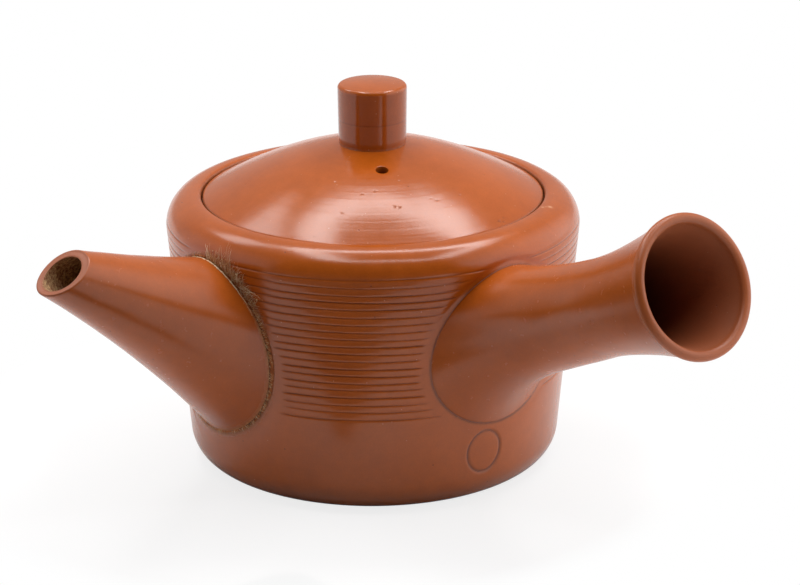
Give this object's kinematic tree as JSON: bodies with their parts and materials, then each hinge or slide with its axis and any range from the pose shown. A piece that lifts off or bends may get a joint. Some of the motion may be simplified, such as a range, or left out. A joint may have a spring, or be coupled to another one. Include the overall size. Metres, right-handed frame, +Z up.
{
  "type": "side-handled teapot",
  "caption": "Round unglazed red clay teapot with a straight side handle, a tapered spout with a pierced strainer behind it, comb lines and a loose domed lid.",
  "frame": {"origin": "centre of the flat base, on the table", "axes": "+Z up, +X along the handle, the spout points along about -Y"},
  "size_m": [0.1596, 0.1418, 0.0894],
  "materials": {
    "red_clay": "unglazed, burnished to a satin",
    "slip": "unglazed, smoothed",
    "stained_slip": "unglazed, rough and tea-stained"
  },
  "bodies": {
    "pot": {"pot_body": "red_clay", "spout": "red_clay", "spout_seam": "stained_slip", "strainer": "red_clay", "strainer_seam": "slip", "handle": "red_clay", "handle_seam": "slip"},
    "lid_ring": {"lid_flange": "red_clay"},
    "lid": {"lid_dome": "red_clay", "lid_knob": "red_clay"}
  },
  "joints": [
    {"name": "lid_lift", "type": "slide", "parent": "pot", "child": "lid_ring", "axis": [0, 0, 1], "range_m": [0, 0.06]},
    {"name": "lid_turn", "type": "hinge", "parent": "lid_ring", "child": "lid", "pos_m": [0, 0, 0.0606], "axis": [0, 0, 1], "continuous": true}
  ]
}
